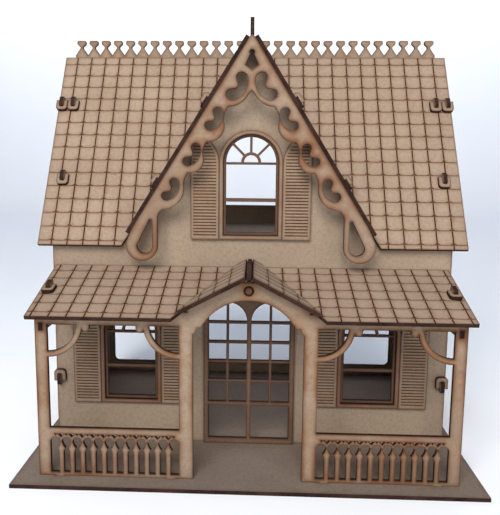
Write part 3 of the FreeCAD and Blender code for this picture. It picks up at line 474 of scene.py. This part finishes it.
def build_board(node, facing, grooves=None, face=None, groove_material=GROOVE_DARK, coarse=12.0):
    """Makes the visible board for a CAD node. A groove is (depth in mm, ring, material slot)."""
    board = Board(node, facing)
    grooves = grooves(board) if grooves else []
    first_pocket = len(grooves)
    for depth, ring in board.pockets:
        grooves.append((depth, ring, GROOVE_SLOT))
    edges = board.outline
    points = []
    index = {}

    def number(p):
        key = (round(p[0], 4), round(p[1], 4))
        if key not in index:
            index[key] = len(points)
            points.append(Vector(key))
        return index[key]

    lines = [(number(a), number(b)) for a, b in edges]
    rings = []
    for _, ring, _ in grooves:
        numbers = []
        for p in counter_clockwise(ring):
            i = number(p)
            if not numbers or numbers[-1] != i:
                numbers.append(i)
        rings.append(numbers)
    cut_tree = edge_tree(edges)
    fill = fill_points(edges, cut_tree, coarse)
    if grooves:
        groove_edges = [(r[k], r[(k + 1) % len(r)]) for _, r, _ in grooves for k in range(len(r))]
        etch_tree = edge_tree(groove_edges)
        fill = fill[distances(fill, etch_tree) > GROOVE_CLEARANCE]
    for x, y in fill:
        number((float(x), float(y)))
    verts, _, faces, _, _, origin = delaunay_2d_cdt(points, lines, rings, 0, 1e-5, True)
    flat = np.array([tuple(v) for v in verts])
    centres = np.array([flat[list(f)].mean(0) for f in faces])
    solid = inside_edges(centres, edges)
    shapes = [(f, o) for f, o, s in zip(faces, origin, solid) if s]
    cut = distances(flat, cut_tree)
    etch = distances(flat, etch_tree) if grooves else np.full(len(flat), UNTOUCHED)

    out_points, out_faces, out_mats, out_cut, out_etch = [], [], [], [], []
    made = {}

    def vertex(i, level):
        key = (i, round(level, 4))
        if key not in made:
            made[key] = len(out_points)
            out_points.append(board.place(flat[i][0], flat[i][1], level))
            out_cut.append(cut[i])
            out_etch.append(etch[i] if level > board.low + FLAT else UNTOUCHED)
        return made[key]

    levels = {}
    for f, o in shapes:
        inside = [k for k in o if k < len(grooves)]
        pocketed = [k for k in inside if k >= first_pocket]
        # A face inside both rings of a ring-shaped pocket is the island in its middle.
        if len(pocketed) % 2 == 0:
            inside = [k for k in inside if k < first_pocket]
        depth = max((grooves[k][0] for k in inside), default=0.0)
        island = SOFT_SLOT if len(pocketed) == 2 else FACE_SLOT
        slot = max((grooves[k][2] for k in inside), default=island)
        a, b, c = (flat[i] for i in f[:3])
        ring = list(f)
        if (b[0] - a[0]) * (c[1] - a[1]) - (b[1] - a[1]) * (c[0] - a[0]) < 0:
            ring.reverse()
        top = board.high - depth
        out_faces.append([vertex(i, top) for i in ring])
        out_mats.append(slot)
        out_faces.append([vertex(i, board.low) for i in reversed(ring)])
        out_mats.append(FACE_SLOT)
        for p, q in zip(ring, ring[1:] + ring[:1]):
            levels[(p, q)] = (top, slot)
    for (p, q), (top, _) in levels.items():
        other = levels.get((q, p))
        if other is None:
            low, wall_slot = board.low, EDGE_SLOT
        elif other[0] < top - 1e-6:
            low, wall_slot = other
        else:
            continue
        out_faces.append([vertex(p, low), vertex(q, low), vertex(q, top), vertex(p, top)])
        out_mats.append(wall_slot)
    mesh = bpy.data.meshes.new(node + "_board")
    mesh.from_pydata([tuple(p) for p in out_points], [], out_faces)
    for material in (face or FACES[SLOT_OF[node]], EDGE, groove_material, GROOVE_SOFT):
        mesh.materials.append(material)
    mesh.polygons.foreach_set("material_index", out_mats)
    for name, values in (("cut_mm", out_cut), ("etch_mm", out_etch)):
        layer = mesh.attributes.new(name, "FLOAT", "POINT")
        layer.data.foreach_set("value", np.array(values, np.float32))
    mesh.validate()
    mesh.update()
    piece = bpy.data.objects.new(node + "_board", mesh)
    bpy.context.scene.collection.objects.link(piece)
    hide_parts(node)
    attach(piece, BODY_OF[node])


# ------------------------------------------------------------------ engraved shingles

def stroke(points, width):
    """A ring around an open line of points."""
    left, right = [], []
    for k, p in enumerate(points):
        before = np.array(points[max(k - 1, 0)], float)
        after = np.array(points[min(k + 1, len(points) - 1)], float)
        along = after - before
        along /= np.linalg.norm(along)
        side = np.array([-along[1], along[0]]) * width / 2.0
        left.append(tuple(np.array(p) + side))
        right.append(tuple(np.array(p) - side))
    return left + right[::-1]


# Engraved shingles, in mm: line widths, the radius of a shingle's corners and the cutting depths.
COLUMN_WIDTH = 0.95
ROW_WIDTH = 0.45
SCALLOP = 3.6
SCALLOP_STEPS = 5
COLUMN_DEPTH = 0.55
ROW_DEPTH = 0.4
CORNER_DEPTH = 0.45
# No column runs closer than this to the board's side edge.
EDGE_CLEARANCE = 0.6
# Enough columns on both sides of the middle to cross any roof board.
COLUMNS_EACH_WAY = 40


def shingles(first_column, pitch_u, first_row, pitch_v, mirror_u):
    """Groove maker for a roof board: columns along the slope, rows with rounded lower corners.

    Columns are placed across the board and rows up from its foot, in mm.
    """

    def make(board):
        corners = np.array([p for e in board.outline for p in e])
        low, high = corners.min(0), corners.max(0)
        sign = -1.0 if mirror_u else 1.0
        steps = range(-COLUMNS_EACH_WAY, COLUMNS_EACH_WAY + 1)
        places = sorted(sign * (first_column + step * pitch_u) for step in steps)
        columns = [x for x in places if low[0] - pitch_u < x < high[0] + pitch_u]
        foot, head = low[1], high[1]
        result = []
        for x in columns:
            if low[0] + EDGE_CLEARANCE < x < high[0] - EDGE_CLEARANCE:
                line = [(x, foot - 1.0 + (head - foot + 2.0) * k / 8) for k in range(9)]
                result.append((COLUMN_DEPTH, stroke(line, COLUMN_WIDTH), GROOVE_SLOT))
        for left, right in zip(columns, columns[1:]):
            row = foot + first_row
            while row < head - 1.5:
                bend = []
                for k in range(SCALLOP_STEPS + 1):
                    angle = math.pi / 2.0 * k / SCALLOP_STEPS
                    across, up = 1 - math.cos(angle), 1 - math.sin(angle)
                    bend.append((left + SCALLOP * across, row + SCALLOP * up))
                path = bend + [(left + right - x, y) for x, y in reversed(bend)]
                result.append((ROW_DEPTH, stroke(path, ROW_WIDTH), SOFT_SLOT))
                wedge = [(left, row - 0.2), (left + SCALLOP * 0.85, row - 0.2)] + bend[4:0:-1]
                wedge.append((left, row + SCALLOP * 0.95))
                result.append((CORNER_DEPTH, wedge, SOFT_SLOT))
                result.append((CORNER_DEPTH, [(left + right - x, y) for x, y in wedge], SOFT_SLOT))
                row += pitch_v
        return result

    return make


# ------------------------------------------------------------------ pieces

FRONT = (0, -1, 0)
BACK = (0, 1, 0)
UP = (0, 0, 1)


def roof_boards(side):
    out = -1 if side == "left" else 1
    mirror = side == "left"
    for node, facing, grooves in (
        ("main_roof_", (0, -1, 1), shingles(6.8, 13.264, 4.0, 12.7, mirror)),
        ("porch_roof_", (0, -1, 1), shingles(0.4, 13.26, 6.1, 12.5, mirror)),
        ("gable_roof_", (out, 0, 1), shingles(-64.6, 13.26, 4.0, 12.7, mirror)),
        ("portal_roof_", (out, 0, 1), shingles(-122.6, 13.26, 5.0, 12.5, mirror)),
    ):
        build_board(node + side, facing, grooves, coarse=4.6)


def clip_facing(node):
    if node.startswith("gable"):
        return (-1 if "_left" in node else 1, 0, 1)
    if node.startswith("front"):
        return FRONT
    if node.startswith("rear"):
        return BACK
    return (0, -1, 1)


def all_boards():
    for side in ("left", "right"):
        out = -1 if side == "left" else 1
        roof_boards(side)
        build_board(side + "_wall", (out, 0, 0))
        build_board(side + "_rafter", (out, 0, 0))
        build_board("porch_side_" + side, (out, 0, 0), face=FRETWORK)
        shutters = ["%s_window_shutter_%s" % (window, side) for window in ("left", "right")]
        for shutter in ["upper_shutter_" + side] + shutters:
            build_board(shutter, FRONT, face=LOUVRED, groove_material=GROOVE_LOUVRE)
    for name in ("left", "right", "upper"):
        # The lower trims take the casing face with painted porch shade; the upper trim keeps the plain
        # trim board face.
        build_board(name + "_window_trim", FRONT, face=None if name == "upper" else CASING)
        # The sashes take the bar face with painted recess shade.
        build_board(name + "_window_sash", FRONT, face=GLAZING)
    build_board("base_plate", UP)
    build_board("upper_floor", UP)
    build_board("front_wall", FRONT)
    build_board("rear_frame", BACK)
    build_board("ridge_cresting", FRONT)
    build_board("gable_finial", (1, 0, 0))
    build_board("portal_finial", (1, 0, 0))
    build_board("gable_bargeboard", FRONT, face=GINGERBREAD)
    # The door panel shares the bar face with painted recess shade.
    build_board("door_panel", FRONT, face=GLAZING)
    build_board("porch_front", FRONT, face=FRETWORK)
    for node in NODES:
        if "_clip_" in node:
            build_board(node, clip_facing(node))


all_boards()


# ------------------------------------------------------------------ studio

def plain(name, tone, rough):
    s = Shader(name)
    s.bsdf.inputs["Base Color"].default_value = (*tone, 1.0)
    s.bsdf.inputs["Roughness"].default_value = rough
    s.bsdf.inputs["Specular IOR Level"].default_value = 0.1
    return s.material


def studio():
    """A floor that curves up into a back wall; sizes in metres."""
    mesh = bpy.data.meshes.new("studio_floor")
    depth, width, back, bend, height, steps = 3.0, 6.0, 2.4, 0.8, 3.5, 12
    profile = [(-depth, 0.0), (back - bend, 0.0)]
    for k in range(1, steps + 1):
        angle = math.pi / 2.0 * k / steps
        profile.append((back - bend + bend * math.sin(angle), bend * (1 - math.cos(angle))))
    profile.append((back, height))
    verts = [(x, y, z) for y, z in profile for x in (-width, width)]
    faces = [(2 * k, 2 * k + 1, 2 * k + 3, 2 * k + 2) for k in range(len(profile) - 1)]
    mesh.from_pydata(verts, [], faces)
    mesh.polygons.foreach_set("use_smooth", [True] * len(faces))
    mesh.materials.append(plain("studio_paper", (0.95, 0.965, 0.985), 0.9))
    floor = bpy.data.objects.new("studio_floor", mesh)
    bpy.context.scene.collection.objects.link(floor)


def area_light(name, place, target, size, power, tone=(1.0, 1.0, 1.0)):
    data = bpy.data.lights.new(name, "AREA")
    data.shape = "RECTANGLE"
    data.size, data.size_y = size
    data.energy = power
    data.color = tone
    lamp = bpy.data.objects.new(name, data)
    bpy.context.scene.collection.objects.link(lamp)
    lamp.location = place
    aim = Vector(target) - Vector(place)
    lamp.rotation_euler = aim.to_track_quat("-Z", "Y").to_euler()


def lights():
    world = bpy.data.worlds.new("studio_world")
    bpy.context.scene.world = world
    world.use_nodes = True
    backdrop = world.node_tree.nodes["Background"]
    backdrop.inputs["Color"].default_value = (0.70, 0.80, 1.0, 1.0)
    backdrop.inputs["Strength"].default_value = 0.40
    middle = (0.0, 0.0, 0.15)
    area_light("key_above", (-0.3, -1.5, 1.35), middle, (1.2, 0.9), 42.0, (1.0, 0.98, 0.95))
    area_light("fill_front", (0.8, -1.9, 0.5), middle, (1.6, 1.0), 8.0)
    area_light("backdrop_wash", (0.0, 1.7, 1.6), (0.0, 2.4, 1.6), (3.6, 0.4), 26.0)


# The viewpoint: place in metres, then yaw, pitch and roll in radians from looking along +Y.
CAMERA_PLACE = (0.00484, -0.55035, 0.2532)
YAW, PITCH, ROLL = 0.0396, -0.1346, -0.0074


def rotation(axis, angle):
    return Matrix.Rotation(angle, 3, axis)


def camera():
    data = bpy.data.cameras.new("camera")
    data.sensor_width = 36.0
    data.sensor_fit = "HORIZONTAL"
    data.lens = 43.507
    data.shift_x = 0.0352
    data.shift_y = -0.0452
    data.clip_start = 0.01
    eye = bpy.data.objects.new("camera", data)
    bpy.context.scene.collection.objects.link(eye)
    turn = rotation("Z", YAW) @ rotation("X", PITCH) @ rotation("Y", ROLL)
    axes = Matrix((turn.col[0], turn.col[2], -turn.col[1])).transposed()
    eye.matrix_world = Matrix.Translation(Vector(CAMERA_PLACE)) @ axes.to_4x4()
    bpy.context.scene.camera = eye


studio()
lights()
camera()
bpy.context.scene.view_settings.view_transform = "Standard"
bpy.context.scene.view_settings.look = "None"

bpy.context.view_layer.update()
